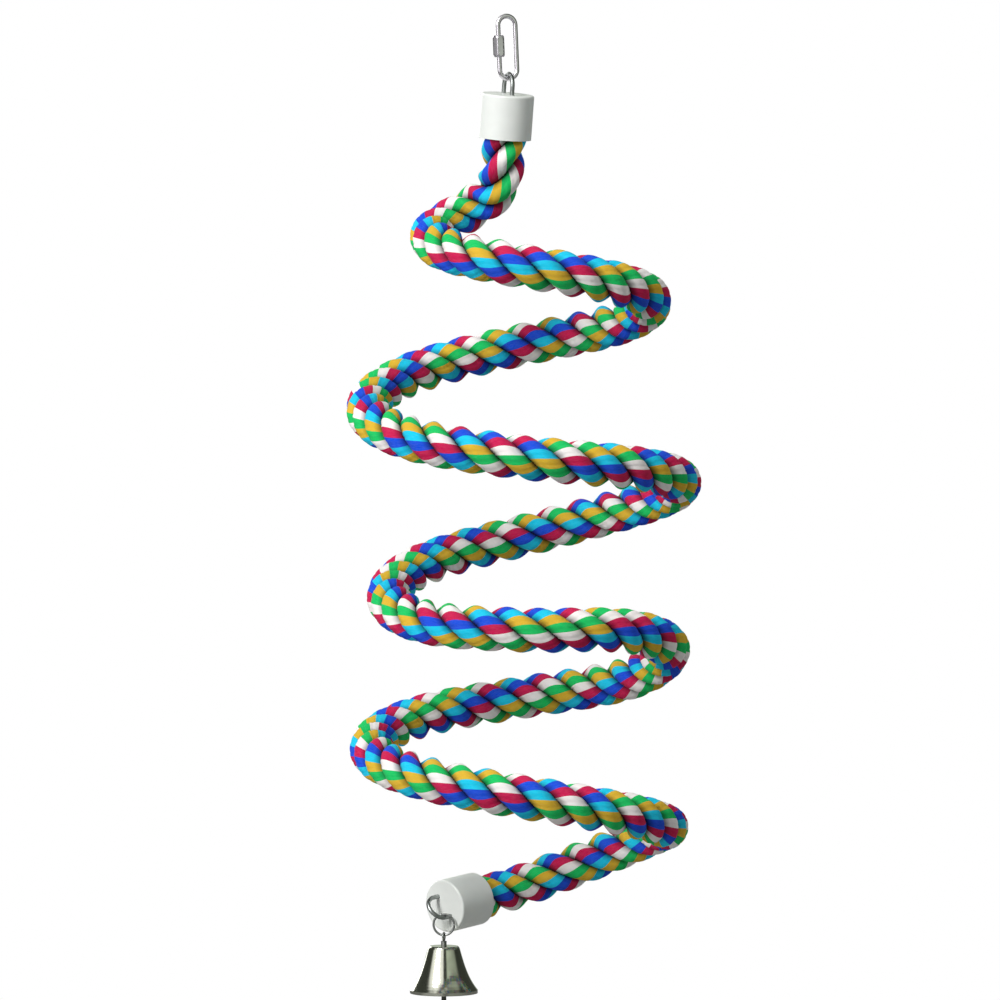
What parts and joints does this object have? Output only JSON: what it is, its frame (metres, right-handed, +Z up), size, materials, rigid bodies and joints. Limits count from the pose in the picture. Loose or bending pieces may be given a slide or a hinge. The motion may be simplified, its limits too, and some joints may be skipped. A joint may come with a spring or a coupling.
{
  "type": "spiral rope bird perch",
  "caption": "Hanging spiral bird perch of thick cotton rope on a steel core wire, with a threaded link at the top, a cap on each end and a bell below.",
  "frame": {"origin": "inside of the top of the threaded link, where the perch hangs from its hook", "axes": "+Z up; the picture is taken along +Y, with +X to its right"},
  "size_m": [0.2023, 0.1987, 0.5709],
  "materials": {
    "link_steel": "bright zinc plating",
    "nut_steel": "bright zinc plating",
    "eye_steel": "drawn steel wire",
    "cap_plastic": "smooth moulded, white",
    "glue": "set hot-melt glue",
    "tape": "plain tape",
    "cotton_rope": "soft cotton yarns in gold, green, white, crimson, blue and cyan, laid in three strands",
    "core_steel": "annealed steel wire",
    "ring_steel": "steel wire",
    "bell_nickel": "polished nickel plating",
    "hanger_steel": "steel wire",
    "washer_steel": "plain washer",
    "clapper_steel": "dark steel"
  },
  "bodies": {
    "quick_link": {"quick_link": "link_steel"},
    "link_nut": {"link_nut": "nut_steel"},
    "perch": {"top_eye": "eye_steel", "top_cap": "cap_plastic", "top_glue": "glue", "top_binding": "tape", "rope": "cotton_rope", "core_wire": "core_steel"},
    "bottom_end": {"bottom_binding": "tape", "bottom_glue": "glue", "bottom_cap": "cap_plastic", "bottom_eye": "eye_steel"},
    "jump_ring": {"jump_ring": "ring_steel"},
    "bell": {"bell_shell": "bell_nickel", "bell_hanger": "hanger_steel", "bell_washer": "washer_steel"},
    "clapper": {"clapper": "clapper_steel"}
  },
  "joints": [
    {"name": "nut_slide", "type": "slide", "parent": "quick_link", "child": "link_nut", "axis": [-0.041, -0.0149, 0.999], "range_m": [0, 0.0057]},
    {"name": "swing", "type": "hinge", "parent": "quick_link", "child": "perch", "pos_m": [0.00103, 0.00038, -0.03418], "axis": [0.9397, 0.342, 0], "range_deg": [-90, 90]},
    {"name": "bounce", "type": "slide", "parent": "perch", "child": "bottom_end", "axis": [0, 0, -1], "range_m": [-0.03, 0.08], "stiffness_N_per_m": 50, "springref_m": -0.00677, "deforming": ["rope", "core_wire"]},
    {"name": "ring_swing", "type": "hinge", "parent": "bottom_end", "child": "jump_ring", "pos_m": [-0.03597, 0.02071, -0.51458], "axis": [0.7532, 0.6578, 0], "range_deg": [-20, 20]},
    {"name": "bell_swing", "type": "hinge", "parent": "jump_ring", "child": "bell", "pos_m": [-0.03597, 0.02071, -0.52468], "axis": [0.9781, -0.2079, 0], "range_deg": [-35, 25]},
    {"name": "clapper_swing", "type": "hinge", "parent": "bell", "child": "clapper", "pos_m": [-0.03597, 0.02071, -0.53734], "axis": [0.2079, 0.9781, 0], "range_deg": [-34.5, 34.5]}
  ]
}
